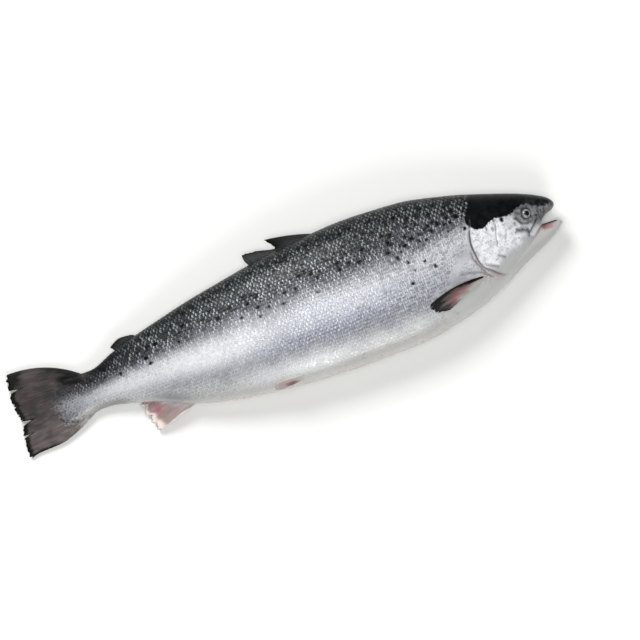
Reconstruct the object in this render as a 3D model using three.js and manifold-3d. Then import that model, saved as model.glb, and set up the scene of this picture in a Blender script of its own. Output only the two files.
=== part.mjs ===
// A whole Atlantic salmon, lying on its left flank with the right flank up.
// Millimetres. +X runs to the snout, +Y to the back, +Z up from the surface that the fish lies on.
// The origin is under the middle of the fish. Fish, jaws and fins are one solid, and each eyeball is one.

import * as THREE from 'three';
import { mergeVertices } from 'three/addons/utils/BufferGeometryUtils.js';
import Module from 'manifold-3d';

// ---- Driving dimensions -------------------------------------------------------------------------

const SNOUT_X = 353.5;
const SNOUT_ROUND = 9;
const LOBE_END_X = -307;
const LOBE_ROUND = 27;
const JAW_START_X = 222;
const JAW_END_X = 355.5;
const JAW_ROUND = 8;

// Outlines of the fish from its side: [x, y], tail to snout.
const BACK_LINE = [
  [-307, 20], [-285, 19], [-250, 17.5], [-215, 29], [-150, 46], [-60, 64], [30, 77],
  [105, 82], [170, 78.5], [230, 67], [285, 50], [328, 33.5], [353, 19.5],
];
const BELLY_LINE = [
  [-307, -45], [-285, -41], [-248, -31.5], [-195, -43], [-140, -65], [-80, -80], [0, -89.5],
  [90, -93], [150, -91.5], [205, -82], [245, -69.5], [300, -43], [337, -26], [353, -16],
];
// Underside of the skull and upper jaw, which leaves the belly line where the gill covers start.
const PALATE_LINE = [
  [228, -76], [262, -61.5], [290, -47], [308, -37.5], [318, -27], [325, -15], [329.5, -6], [333, -1],
  [339, 3.2], [345, 5.2], [353, 6.2],
];
const LIP_LINE = [[222, -30], [271, -16], [310, -7], [332, -5], [353, -7]];

// Half the thickness of the fish, and the height of its middle plane above the surface: [x, mm].
const HALF_WIDTH = [
  [-307, 2], [-285, 4], [-250, 8.5], [-215, 13], [-150, 21.5], [-60, 33.5], [30, 40.5],
  [100, 41.5], [170, 40], [230, 35.5], [271, 31.5], [300, 26], [328, 18.5], [353, 10],
];
const MIDDLE = [
  [-352, 4], [-307, 5.5], [-250, 10], [-215, 14], [-150, 21.5], [-60, 30.5], [30, 35.5],
  [100, 36.5], [170, 35.5], [230, 32.5], [300, 28.5], [353, 27],
];
const JAW_HALF_WIDTH = [[222, 12], [245, 18], [271, 21], [300, 19.5], [332, 13], [353, 8]];

// A section is a rounded oval. The lower flank is squarer and thinner, since it bears the weight.
const UPPER_POWER = 2.2;
const LOWER_POWER = 2.6;
const LOWER_SHARE = 0.95;
const JAW_POWER = 2.2;

const BODY_AROUND = 32;
const BODY_RINGS = 46;
const JAW_AROUND = 18;
const JAW_RINGS = 12;
// How far the rings of a section chain crowd towards its two ends: 0 not at all, 1 as on a sphere.
const RING_CROWDING = 0.6;

// Points on the skin are looked up a little short of the ridge and the belly's edge.
const NEAREST_TO_RIDGE = 0.995;
const NORMAL_ANGLE_STEP = 0.02;
const NORMAL_X_STEP = 1;

// Fins: [x, y] from the leading ray to the last one, along the base and along the free edge.
// `bow` swells the first and last ray sideways, `hook` draws the last one in again near its tip,
// `fray` is how far the membrane is worn back, and `wave` how high its ripples stand.
const CAUDAL_FIN = {
  base: [[-254, 12], [-256, -8], [-253, -28]],
  edge: [[-349, 48], [-354, 14], [-350.5, -14], [-355, -36], [-355, -60.5]],
  bow: [10.5, -8],
  hook: 8,
  rays: 15,
  steps: 5,
  thickness: [5, 1.1],
  fray: 1.8,
  droop: 0,
  wave: 1.2,
};
// Tears in the caudal fin: where along the free edge, how deep and how wide.
const TEARS = [
  { at: 0.165, depth: 15, width: 4.2 },
  { at: 0.515, depth: 14, width: 7.5 },
  { at: 0.7, depth: 11, width: 4.2 },
];
const TEAR_CUT_HEIGHT = 30;
const DORSAL_FIN = {
  base: [[69, 78], [30, 73], [-19, 68]],
  edge: [[6, 93], [15, 79], [-8, 84], [-25, 86]],
  bow: [2, -2.5],
  hook: 0,
  rays: 9,
  steps: 4,
  thickness: [5, 1.4],
  fray: 1,
  droop: -4,
  wave: 0,
};
const ANAL_FIN = {
  base: [[-129, -60], [-160, -50], [-191, -38]],
  edge: [[-195, -82], [-202.5, -63], [-209, -44.5]],
  bow: [-1, 0],
  hook: 0,
  rays: 8,
  steps: 4,
  thickness: [5, 1.2],
  fray: 3,
  droop: -9,
  wave: 0.6,
};
const ADIPOSE_FIN = {
  base: [[-178, 34], [-193, 31], [-208, 26]],
  edge: [[-188, 41.5], [-203, 42], [-216, 35.5]],
  bow: [1.5, 0],
  hook: 0,
  rays: 4,
  steps: 4,
  thickness: [5, 2.2],
  fray: 0,
  droop: -2,
  wave: 0,
};
// The paired fins lie folded back on the skin, one of each on either flank.
const PECTORAL_FIN = {
  base: [[240, -41], [239, -46]],
  edge: [[168, -51], [166, -56], [172, -63], [186, -66]],
  bow: [5, 1],
  hook: 0,
  rays: 5,
  steps: 6,
  fray: 3,
};
const PELVIC_FIN = {
  base: [[0, -77], [-3, -82]],
  edge: [[-38, -75], [-43, -80], [-40, -84.5]],
  bow: [1, 0],
  hook: 0,
  rays: 3,
  steps: 4,
  fray: 1.5,
};
const PAIRED_FIN_ROOT = 2.6;
const PAIRED_FIN_TIP = 1.6;
const SUNK = 1.6;
// Thickness of the membrane as a share of the rays', in an upright fin and in one that lies folded.
const MEMBRANE_SHARE = 0.65;
const FOLDED_MEMBRANE_SHARE = 0.7;
const RIPPLES = 2.5;

// Raised rim of the upper jaw, behind the corner of the mouth.
const MAXILLA = {
  base: [[331, 3], [327, -3]],
  edge: [[318, -5], [311.5, -14]],
  bow: [0, 0],
  hook: 0,
  rays: 1,
  steps: 4,
  fray: 0,
};
const MAXILLA_RISE = 1.4;

const GILL_SLIT = [[247, 25], [241, 9], [239.5, -6], [243, -28], [252, -37], [264, -47]];
const GILL_SLIT_WIDTH = 1.8;
const GILL_SLIT_DEPTH = 4;
const GILL_SLIT_CLEARANCE = 2;
const GILL_SLIT_STEPS = 14;

const EYE_X = 316;
const EYE_Y = 12;
const EYE_RADIUS = 6.6;
const EYE_HALF_DEPTH = 4.6;
const EYE_SINK = 2.4;
const SOCKET_GAP = 0.35;
const EYE_AROUND = 20;
const EYE_RINGS = 10;

const NOSTRILS = [[334.5, 13.5], [331, 12]];
const NOSTRIL_RADIUS = 1.3;
const NOSTRIL_AROUND = 8;
const NOSTRIL_RINGS = 6;

// The hollow between the jaws: its centre, half its sizes, and its turn in radians.
const MOUTH = { x: 338, y: -0.5, long: 30, high: 7, wide: 8, turn: 0.19 };
const MOUTH_AROUND = 18;
const MOUTH_RINGS = 10;

// A block larger than the fish, under the surface that it lies on.
const BELOW = { long: 900, wide: 400, deep: 40 };

const wasm = await Module();
wasm.setup();

// ---- Small tools --------------------------------------------------------------------------------

const mix = THREE.MathUtils.lerp;

// Slope at each knot that keeps the curve through the knots free of overshoot.
function knotSlopes(knots) {
  const rise = [];
  for (let i = 0; i < knots.length - 1; i += 1) {
    rise.push((knots[i + 1][1] - knots[i][1]) / (knots[i + 1][0] - knots[i][0]));
  }
  const slopes = [rise[0]];
  for (let i = 1; i < rise.length; i += 1) {
    const product = rise[i - 1] * rise[i];
    slopes.push(product > 0 ? (2 * product) / (rise[i - 1] + rise[i]) : 0);
  }
  slopes.push(rise[rise.length - 1]);
  return slopes;
}

// Smooth curve through knots [x, value].
function profile(knots) {
  const slopes = knotSlopes(knots);
  return (x) => {
    let i = 0;
    while (i < knots.length - 2 && x > knots[i + 1][0]) {
      i += 1;
    }
    const span = knots[i + 1][0] - knots[i][0];
    const t = THREE.MathUtils.clamp((x - knots[i][0]) / span, 0, 1);
    const t2 = t * t;
    const t3 = t2 * t;
    return (2 * t3 - 3 * t2 + 1) * knots[i][1]
      + (t3 - 2 * t2 + t) * span * slopes[i]
      + (3 * t2 - 2 * t3) * knots[i + 1][1]
      + (t3 - t2) * span * slopes[i + 1];
  };
}

function curveThrough(points) {
  return new THREE.SplineCurve(points.map(([x, y]) => new THREE.Vector2(x, y)));
}

// Power of a sine or cosine that keeps its sign.
function bulge(value, power) {
  return Math.sign(value) * Math.abs(value) ** (2 / power);
}

// Falls from 1 to 0 over the last `round` millimetres before `end`, like a quarter ellipse.
function roundedEnd(x, end, round) {
  const past = 1 - Math.abs(end - x) / round;
  return past <= 0 ? 1 : Math.sqrt(Math.max(0, 1 - past * past));
}

// ---- Form of the fish ---------------------------------------------------------------------------

const back = profile(BACK_LINE);
const belly = profile(BELLY_LINE);
const palate = profile(PALATE_LINE);
const lip = profile(LIP_LINE);
const halfWidth = profile(HALF_WIDTH);
const jawHalfWidth = profile(JAW_HALF_WIDTH);
const middle = profile(MIDDLE);

function trunkSection(x) {
  const under = x > PALATE_LINE[0][0] ? Math.max(palate(x), belly(x)) : belly(x);
  const ends = roundedEnd(x, LOBE_END_X, LOBE_ROUND) * roundedEnd(x, SNOUT_X, SNOUT_ROUND);
  return {
    centre: (back(x) + under) / 2,
    depth: ((back(x) - under) / 2) * ends,
    width: halfWidth(x) * ends,
    height: middle(x),
    upperPower: UPPER_POWER,
    lowerPower: LOWER_POWER,
  };
}

function jawSection(x) {
  const ends = roundedEnd(x, JAW_END_X, JAW_ROUND) * roundedEnd(x, JAW_START_X, JAW_ROUND);
  return {
    centre: (lip(x) + belly(x)) / 2,
    depth: ((lip(x) - belly(x)) / 2) * ends,
    width: jawHalfWidth(x) * ends,
    height: middle(x),
    upperPower: JAW_POWER,
    lowerPower: JAW_POWER,
  };
}

// Angle 0 is the back, a quarter turn the upper flank, half a turn the belly.
function sectionPoint(section, x, angle) {
  const upper = Math.sin(angle) >= 0;
  const power = upper ? section.upperPower : section.lowerPower;
  const width = upper ? section.width : section.width * LOWER_SHARE;
  return new THREE.Vector3(
    x,
    section.centre + section.depth * bulge(Math.cos(angle), power),
    section.height + width * bulge(Math.sin(angle), power),
  );
}

// A sphere's vertices moved to a chain of sections, its poles at the two ends.
function sectionSolid(sectionAt, startX, endX, around, rings) {
  const geometry = welded(new THREE.SphereGeometry(1, around, rings));
  const { position } = geometry.attributes;
  const vertex = new THREE.Vector3();
  for (let i = 0; i < position.count; i += 1) {
    vertex.fromBufferAttribute(position, i);
    const along = 1 - Math.acos(THREE.MathUtils.clamp(vertex.y, -1, 1)) / Math.PI;
    const eased = mix(along, (1 - Math.cos(Math.PI * along)) / 2, RING_CROWDING);
    const x = mix(startX, endX, eased);
    const point = sectionPoint(sectionAt(x), x, Math.atan2(vertex.x, vertex.z));
    position.setXYZ(i, point.x, point.y, point.z);
  }
  return solid(geometry);
}

// Point on the skin over (x, y), pushed out by `rise`; side 1 is the upper flank, -1 the lower.
function skinPoint(x, y, side, rise) {
  const section = trunkSection(x);
  const power = side > 0 ? section.upperPower : section.lowerPower;
  const share = (y - section.centre) / section.depth;
  const reach = THREE.MathUtils.clamp(share, -NEAREST_TO_RIDGE, NEAREST_TO_RIDGE);
  const angle = side * Math.acos(Math.sign(reach) * Math.abs(reach) ** (power / 2));
  const ahead = x + NORMAL_X_STEP;
  const here = sectionPoint(section, x, angle);
  const along = sectionPoint(trunkSection(ahead), ahead, angle).sub(here);
  const across = sectionPoint(section, x, angle + NORMAL_ANGLE_STEP).sub(here);
  return here.add(across.cross(along).normalize().multiplyScalar(rise));
}

// ---- Solids -------------------------------------------------------------------------------------

function signedVolume(geometry) {
  const { position } = geometry.attributes;
  const [a, b, c] = [new THREE.Vector3(), new THREE.Vector3(), new THREE.Vector3()];
  let volume = 0;
  for (let i = 0; i < geometry.index.count; i += 3) {
    a.fromBufferAttribute(position, geometry.index.getX(i));
    b.fromBufferAttribute(position, geometry.index.getX(i + 1));
    c.fromBufferAttribute(position, geometry.index.getX(i + 2));
    volume += a.dot(b.cross(c)) / 6;
  }
  return volume;
}

// Shared vertices become one, so that the faces close.
function welded(geometry) {
  geometry.deleteAttribute('normal');
  geometry.deleteAttribute('uv');
  return mergeVertices(geometry);
}

// A welded geometry as a manifold solid with its faces pointing out.
function solid(geometry) {
  const corners = Uint32Array.from(geometry.index.array);
  if (signedVolume(geometry) < 0) {
    for (let i = 0; i < corners.length; i += 3) {
      [corners[i], corners[i + 1]] = [corners[i + 1], corners[i]];
    }
  }
  const vertProperties = Float32Array.from(geometry.attributes.position.array);
  return new wasm.Manifold(new wasm.Mesh({ numProp: 3, vertProperties, triVerts: corners }));
}

function geometryOf(manifold) {
  const mesh = manifold.getMesh();
  const geometry = new THREE.BufferGeometry();
  geometry.setAttribute('position', new THREE.BufferAttribute(Float32Array.from(mesh.vertProperties), 3));
  geometry.setIndex(Array.from(mesh.triVerts));
  geometry.computeVertexNormals();
  return geometry;
}

// A box's vertices moved by place(u, v, w), each of which runs from 0 to 1.
function mappedBox(columns, rows, place) {
  const geometry = welded(new THREE.BoxGeometry(1, 1, 1, columns, rows, 1));
  const { position } = geometry.attributes;
  for (let i = 0; i < position.count; i += 1) {
    const point = place(position.getX(i) + 0.5, position.getY(i) + 0.5, position.getZ(i) + 0.5);
    position.setXYZ(i, point.x, point.y, point.z);
  }
  return solid(geometry);
}

// ---- Fins ---------------------------------------------------------------------------------------

// 1 on a ray, 0 in the middle of the membrane between two rays.
function rayRidge(fin, u) {
  return 0.5 + 0.5 * Math.cos(2 * Math.PI * fin.rays * u);
}

// Flat outline of a fin: u runs from the leading ray to the last, v from the base to the free edge.
function finOutline(fin) {
  const base = curveThrough(fin.base);
  const edge = curveThrough(fin.edge);
  return (u, v) => {
    const root = base.getPoint(u);
    const ray = edge.getPoint(u).sub(root);
    const length = ray.length();
    const reach = v * (1 - (fin.fray * (1 - rayRidge(fin, u))) / length);
    const drawnIn = 1 - fin.hook * u * Math.max(0, reach - 0.5) ** 2;
    const sideways = mix(fin.bow[0], fin.bow[1], u) * 4 * reach * (1 - reach) * drawnIn;
    return new THREE.Vector2(
      root.x + ray.x * reach + (ray.y / length) * sideways,
      root.y + ray.y * reach - (ray.x / length) * sideways,
    );
  };
}

// A fin that stands in the middle plane of the fish.
function middleFin(fin) {
  const outline = finOutline(fin);
  return mappedBox(fin.rays * 2, fin.steps, (u, v, w) => {
    const flat = outline(u, v);
    const ribbed = mix(MEMBRANE_SHARE, 1, rayRidge(fin, u));
    const thickness = mix(fin.thickness[0], fin.thickness[1], Math.sqrt(v)) * ribbed;
    const ripple = fin.wave * v * Math.sin(2 * Math.PI * RIPPLES * u);
    const height = middle(flat.x) + fin.droop * v * v + ripple;
    return new THREE.Vector3(flat.x, flat.y, height + (w - 0.5) * thickness);
  });
}

// A wedge that cuts a tear into a fin from its free edge towards the base.
function tearWedge(fin, tear) {
  const outline = finOutline(fin);
  const mouth = outline(tear.at, 1);
  const root = outline(tear.at, 0);
  const inward = root.clone().sub(mouth).normalize();
  const aside = new THREE.Vector2(-inward.y, inward.x).multiplyScalar(tear.width / 2);
  const outside = mouth.clone().addScaledVector(inward, -fin.fray);
  const shape = new THREE.Shape([
    outside.clone().add(aside),
    mouth.clone().addScaledVector(inward, tear.depth),
    outside.clone().sub(aside),
  ]);
  const geometry = new THREE.ExtrudeGeometry(shape, { depth: TEAR_CUT_HEIGHT, bevelEnabled: false });
  return solid(welded(geometry).translate(0, 0, middle(mouth.x) - TEAR_CUT_HEIGHT / 2));
}

// A fin or plate that lies on the skin of one flank.
function lyingPlate(plate, side, rootRise, tipRise) {
  const outline = finOutline(plate);
  return mappedBox(plate.rays * 2, plate.steps, (u, v, w) => {
    const flat = outline(u, v);
    const rise = mix(rootRise, tipRise, v) * mix(FOLDED_MEMBRANE_SHARE, 1, rayRidge(plate, u));
    return skinPoint(flat.x, flat.y, side, mix(-SUNK, rise, w));
  });
}

// ---- Cuts in the head ---------------------------------------------------------------------------

function gillSlit(side) {
  const line = curveThrough(GILL_SLIT);
  return mappedBox(GILL_SLIT_STEPS, 1, (u, v, w) => {
    const point = line.getPoint(u);
    const tangent = line.getTangent(u);
    const aside = (v - 0.5) * GILL_SLIT_WIDTH;
    const x = point.x - tangent.y * aside;
    const y = point.y + tangent.x * aside;
    return skinPoint(x, y, side, mix(-GILL_SLIT_DEPTH, GILL_SLIT_CLEARANCE, w));
  });
}

function mouthHollow() {
  const geometry = welded(new THREE.SphereGeometry(1, MOUTH_AROUND, MOUTH_RINGS));
  geometry.scale(MOUTH.long, MOUTH.high, MOUTH.wide);
  geometry.rotateZ(MOUTH.turn);
  geometry.translate(MOUTH.x, MOUTH.y, middle(MOUTH.x));
  return solid(geometry);
}

function nostril(x, y, side) {
  const place = skinPoint(x, y, side, 0);
  const geometry = welded(new THREE.SphereGeometry(NOSTRIL_RADIUS, NOSTRIL_AROUND, NOSTRIL_RINGS));
  return solid(geometry.translate(place.x, place.y, place.z));
}

// The eyeball, or its socket where `gap` makes it wider, square to the skin around it.
function eyeForm(side, gap) {
  const skin = skinPoint(EYE_X, EYE_Y, side, 0);
  const outward = skinPoint(EYE_X, EYE_Y, side, 1).sub(skin);
  const centre = skinPoint(EYE_X, EYE_Y, side, -EYE_SINK);
  const geometry = welded(new THREE.SphereGeometry(1, EYE_AROUND, EYE_RINGS));
  geometry.scale(EYE_RADIUS + gap, EYE_HALF_DEPTH + gap, EYE_RADIUS + gap);
  geometry.applyQuaternion(new THREE.Quaternion().setFromUnitVectors(new THREE.Vector3(0, 1, 0), outward));
  return geometry.translate(centre.x, centre.y, centre.z);
}

// Everything below the surface that the fish lies on, which flattens its lower flank.
function belowSurface() {
  const block = new THREE.BoxGeometry(BELOW.long, BELOW.wide, BELOW.deep);
  return solid(welded(block).translate(0, 0, -BELOW.deep / 2));
}

// ---- The fish -----------------------------------------------------------------------------------

function salmonSolid() {
  let fish = sectionSolid(trunkSection, LOBE_END_X, SNOUT_X, BODY_AROUND, BODY_RINGS);
  fish = fish.add(sectionSolid(jawSection, JAW_START_X, JAW_END_X, JAW_AROUND, JAW_RINGS));
  for (const fin of [CAUDAL_FIN, DORSAL_FIN, ANAL_FIN, ADIPOSE_FIN]) {
    fish = fish.add(middleFin(fin));
  }
  for (const tear of TEARS) {
    fish = fish.subtract(tearWedge(CAUDAL_FIN, tear));
  }
  for (const side of [1, -1]) {
    fish = fish.add(lyingPlate(PECTORAL_FIN, side, PAIRED_FIN_ROOT, PAIRED_FIN_TIP));
    fish = fish.add(lyingPlate(PELVIC_FIN, side, PAIRED_FIN_ROOT, PAIRED_FIN_TIP));
    fish = fish.add(lyingPlate(MAXILLA, side, MAXILLA_RISE, MAXILLA_RISE));
  }
  for (const side of [1, -1]) {
    fish = fish.subtract(gillSlit(side));
    fish = fish.subtract(solid(eyeForm(side, SOCKET_GAP)));
    for (const [x, y] of NOSTRILS) {
      fish = fish.subtract(nostril(x, y, side));
    }
  }
  return fish.subtract(mouthHollow()).subtract(belowSurface());
}

const skinMaterial = new THREE.MeshStandardMaterial({ color: 0x9fa4ab, roughness: 0.35, metalness: 0.1 });
const rightEyeMaterial = new THREE.MeshStandardMaterial({ color: 0x1a1c1e, roughness: 0.12, metalness: 0 });
const leftEyeMaterial = rightEyeMaterial.clone();

function eyeball(name, side, material) {
  const mesh = new THREE.Mesh(geometryOf(solid(eyeForm(side, 0))), material);
  mesh.name = name;
  return mesh;
}

const salmon = new THREE.Mesh(geometryOf(salmonSolid()), skinMaterial);
salmon.name = 'salmon';

const model = new THREE.Group();
model.add(salmon);
model.add(eyeball('eye_right', 1, rightEyeMaterial));
model.add(eyeball('eye_left', -1, leftEyeMaterial));

export default model;
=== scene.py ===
"""Looks of a whole Atlantic salmon that lies on its left flank, built around its CAD frame.

Shapes are worked out in millimetres and set down in metres. +X runs to the snout, +Y to the back, +Z up.
"""

import math

import bmesh
import bpy
import numpy as np
from mathutils import Matrix, Vector


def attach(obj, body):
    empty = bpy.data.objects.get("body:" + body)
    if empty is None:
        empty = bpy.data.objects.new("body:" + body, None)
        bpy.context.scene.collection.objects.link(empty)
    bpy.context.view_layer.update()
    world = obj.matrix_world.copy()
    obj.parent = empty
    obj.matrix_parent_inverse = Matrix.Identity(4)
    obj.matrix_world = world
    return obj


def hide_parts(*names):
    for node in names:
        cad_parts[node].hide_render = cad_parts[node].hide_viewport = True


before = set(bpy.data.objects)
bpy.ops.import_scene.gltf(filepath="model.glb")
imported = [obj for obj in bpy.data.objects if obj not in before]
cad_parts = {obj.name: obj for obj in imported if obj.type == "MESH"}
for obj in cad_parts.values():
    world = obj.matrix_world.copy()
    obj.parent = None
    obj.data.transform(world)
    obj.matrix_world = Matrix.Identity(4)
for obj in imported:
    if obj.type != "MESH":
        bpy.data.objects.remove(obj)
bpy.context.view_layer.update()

MM = 0.001
SEAM_GAP = 1e-5
BAKE_MAP = "OFBake"
RIGHT, LEFT = 1, -1
SIDES = {"right": RIGHT, "left": LEFT}
SEEDS = {RIGHT: 5, LEFT: 6}

# ---- The fish's own sizes, as its solid has them ----

SNOUT_X = 353.5
SNOUT_ROUND = 9.0
LOBE_END_X = -307.0
LOBE_ROUND = 27.0
JAW_START_X = 222.0
JAW_END_X = 355.5
JAW_ROUND = 8.0

BACK_LINE = [
    (-307, 20), (-285, 19), (-250, 17.5), (-215, 29), (-150, 46), (-60, 64), (30, 77),
    (105, 82), (170, 78.5), (230, 67), (285, 50), (328, 33.5), (353, 19.5),
]
BELLY_LINE = [
    (-307, -45), (-285, -41), (-248, -31.5), (-195, -43), (-140, -65), (-80, -80), (0, -89.5),
    (90, -93), (150, -91.5), (205, -82), (245, -69.5), (300, -43), (337, -26), (353, -16),
]
PALATE_LINE = [
    (228, -76), (262, -61.5), (290, -47), (308, -37.5), (318, -27), (325, -15), (329.5, -6), (333, -1),
    (339, 3.2), (345, 5.2), (353, 6.2),
]
LIP_LINE = [(222, -30), (271, -16), (310, -7), (332, -5), (353, -7)]
HALF_WIDTH = [
    (-307, 2), (-285, 4), (-250, 8.5), (-215, 13), (-150, 21.5), (-60, 33.5), (30, 40.5),
    (100, 41.5), (170, 40), (230, 35.5), (271, 31.5), (300, 26), (328, 18.5), (353, 10),
]
MIDDLE = [
    (-352, 4), (-307, 5.5), (-250, 10), (-215, 14), (-150, 21.5), (-60, 30.5), (30, 35.5),
    (100, 36.5), (170, 35.5), (230, 32.5), (300, 28.5), (353, 27),
]
JAW_HALF_WIDTH = [(222, 12), (245, 18), (271, 21), (300, 19.5), (332, 13), (353, 8)]
# Where the silver of the flank is brightest, partly as painted highlight, and where the lateral line runs.
LATERAL_LINE = [(-307, -12), (-250, -7), (-110, 1), (70, 7), (180, 12), (247, 22), (353, 10)]

UPPER_POWER = 2.2
LOWER_POWER = 2.6
LOWER_SHARE = 0.95
JAW_POWER = 2.2

GILL_LINE = [(250, 34), (247, 25), (241, 9), (239.5, -6), (243, -28), (252, -37), (264, -47), (282, -54)]
EYE_X, EYE_Y = 316.0, 12.0
EYE_RADIUS = 6.6
EYE_HALF_DEPTH = 4.6
EYE_SINK = 2.4
EYE_COLUMNS = 64
EYE_ROWS = 48

# A fin's base and free edge run from its leading ray to its last. It has the bow of those two rays, its
# thickness at root and rim, and its tears as share of the edge, depth and width.
PLAIN_FIN = {"hook": 0, "droop": 0, "wave": 0, "tears": []}
CAUDAL_FIN = {
    **PLAIN_FIN, "base": [(-254, 12), (-256, -8), (-253, -28)],
    "edge": [(-350, 48), (-354.5, 14), (-351, -14), (-355.5, -36), (-355.5, -60.5)],
    "bow": (10.5, -8), "hook": 8, "rays": 15, "thickness": (5, 1.1), "fray": 1.8, "wave": 1.2,
    "tears": [(0, 3.2, 8), (0.165, 15, 3.0), (0.31, 4, 2.4), (0.4, 4, 2.4), (0.47, 3.5, 2.2),
              (0.515, 14, 7.5), (0.7, 11, 4.2)],
    "ragged": 3.2, "teeth": 44,
}
DORSAL_FIN = {
    **PLAIN_FIN, "base": [(69, 78), (30, 73), (-19, 68)],
    "edge": [(6, 93), (15, 79), (-8, 84), (-25, 86)],
    "bow": (2, -2.5), "rays": 9, "thickness": (5, 1.4), "fray": 1, "droop": -4,
    "ragged": 1.2, "teeth": 14,
}
ANAL_FIN = {
    **PLAIN_FIN, "base": [(-129, -60), (-160, -50), (-191, -38)],
    "edge": [(-195, -82), (-202.5, -63), (-209, -44.5)],
    "bow": (-1, 0), "rays": 8, "thickness": (5, 1.2), "fray": 1.2, "droop": -9, "wave": 0.6,
    "tears": [(0.26, 3.5, 6), (0.52, 6, 9), (0.82, 8.5, 11)], "ragged": 2.6, "teeth": 20,
}
ADIPOSE_FIN = {
    **PLAIN_FIN, "base": [(-178, 34), (-193, 31), (-208, 26)],
    "edge": [(-188, 41.5), (-203, 42), (-216, 35.5)],
    "bow": (1.5, 0), "rays": 4, "thickness": (5, 2.2), "fray": 0, "droop": -2,
    "ragged": 0.0, "teeth": 8,
}
PECTORAL_FIN = {
    **PLAIN_FIN, "base": [(240, -41), (239, -46)],
    "edge": [(168, -51), (166, -56), (172, -63), (186, -66)],
    "bow": (5, 1), "rays": 11, "fray": 1.4,
    "tears": [(0.3, 7, 2.2), (0.66, 3, 2.0)], "ragged": 3.0, "teeth": 22,
}
PELVIC_FIN = {
    **PLAIN_FIN, "base": [(0, -77), (-3, -82)],
    "edge": [(-38, -75), (-43, -80), (-40, -84.5)],
    "bow": (1, 0), "rays": 8, "fray": 1.0, "ragged": 1.6, "teeth": 12,
}
PAIRED_FIN_ROOT = 2.6
PAIRED_FIN_TIP = 1.6
PAIRED_FIN_SUNK = 0.6
STREAK_KNOTS = 70
RIM_POWER = 24
SIDE_POWER = 30

# ---- Curves and sections ----


def mix(a, b, t):
    return a + (b - a) * t


def unit(value):
    return np.clip(value, 0, 1)


def smooth(low, high, value):
    """Rises softly from 0 at low to 1 at high."""
    t = unit((value - low) / (high - low))
    return t * t * (3 - 2 * t)


def bell(value, width):
    return np.exp(-((value / width) ** 2))


def profile(knots):
    """Smooth curve through knots (x, value), without overshoot."""
    xs, ys = np.array(knots, float).T
    rise = np.diff(ys) / np.diff(xs)
    product = rise[:-1] * rise[1:]
    total = np.where(product > 0, rise[:-1] + rise[1:], 1)
    slopes = np.concatenate([rise[:1], np.where(product > 0, 2 * product / total, 0), rise[-1:]])

    def value(x):
        x = np.asarray(x, float)
        i = np.clip(np.searchsorted(xs, x) - 1, 0, len(xs) - 2)
        span = xs[i + 1] - xs[i]
        t = unit((x - xs[i]) / span)
        t2, t3 = t * t, t * t * t
        return ((2 * t3 - 3 * t2 + 1) * ys[i] + (t3 - 2 * t2 + t) * span * slopes[i]
                + (3 * t2 - 2 * t3) * ys[i + 1] + (t3 - t2) * span * slopes[i + 1])

    return value


def curve_through(points):
    """Smooth line through flat points, by its share of the way from 0 to 1."""
    p = np.array([points[0], *points, points[-1]], float)
    spans = len(points) - 1

    def at(share):
        place = unit(np.asarray(share, float)) * spans
        i = np.minimum(place.astype(int), spans - 1)
        t = (place - i)[..., None]
        p0, p1, p2, p3 = p[i], p[i + 1], p[i + 2], p[i + 3]
        v0, v1 = (p2 - p0) / 2, (p3 - p1) / 2
        return ((2 * p1 - 2 * p2 + v0 + v1) * t ** 3 + (3 * p2 - 3 * p1 - 2 * v0 - v1) * t ** 2
                + v0 * t + p1)

    return at


def bulge(value, power):
    return np.sign(value) * np.abs(value) ** (2 / power)


def rounded_end(x, end, length):
    past = 1 - np.abs(end - x) / length
    return np.where(past <= 0, 1, np.sqrt(np.maximum(0, 1 - past * past)))


back = profile(BACK_LINE)
belly = profile(BELLY_LINE)
palate = profile(PALATE_LINE)
lip = profile(LIP_LINE)
half_width = profile(HALF_WIDTH)
jaw_half_width = profile(JAW_HALF_WIDTH)
middle = profile(MIDDLE)
lateral = profile(LATERAL_LINE)


def trunk_section(x):
    under = np.where(x > PALATE_LINE[0][0], np.maximum(palate(x), belly(x)), belly(x))
    ends = rounded_end(x, LOBE_END_X, LOBE_ROUND) * rounded_end(x, SNOUT_X, SNOUT_ROUND)
    return (back(x) + under) / 2, (back(x) - under) / 2 * ends, half_width(x) * ends, middle(x)


def jaw_section(x):
    ends = rounded_end(x, JAW_END_X, JAW_ROUND) * rounded_end(x, JAW_START_X, JAW_ROUND)
    return (lip(x) + belly(x)) / 2, (lip(x) - belly(x)) / 2 * ends, jaw_half_width(x) * ends, middle(x)


def oval(section, x, angle, upper_power, lower_power):
    """Point of a section: angle 0 is the back, a quarter turn the upper flank, half a turn the belly."""
    centre, depth, width, height = section
    x, angle = np.broadcast_arrays(x, angle)
    up = np.sin(angle) >= 0
    power = np.where(up, upper_power, lower_power)
    reach = np.where(up, width, width * LOWER_SHARE)
    return np.stack([
        x,
        centre + depth * bulge(np.cos(angle), power),
        height + reach * bulge(np.sin(angle), power),
    ], -1)


def trunk_point(x, angle):
    return oval(trunk_section(x), x, angle, UPPER_POWER, LOWER_POWER)


def jaw_point(x, angle):
    return oval(jaw_section(x), x, angle, JAW_POWER, JAW_POWER)


def outward(point_at, x, angle):
    """Normal of a skin that point_at(x, angle) gives."""
    step_x, step_angle = 0.4, 0.01
    along = point_at(x + step_x, angle) - point_at(x - step_x, angle)
    across = point_at(x, angle + step_angle) - point_at(x, angle - step_angle)
    normal = np.cross(across, along)
    return normal / np.maximum(np.linalg.norm(normal, axis=-1, keepdims=True), 1e-9)


def angle_over(x, y, side):
    """Angle of the trunk's section at which the skin of one flank passes over (x, y)."""
    centre, depth, _, _ = trunk_section(x)
    power = np.where(side > 0, UPPER_POWER, LOWER_POWER)
    reach = np.clip((y - centre) / depth, -0.995, 0.995)
    return side * np.arccos(np.sign(reach) * np.abs(reach) ** (power / 2))


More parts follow.
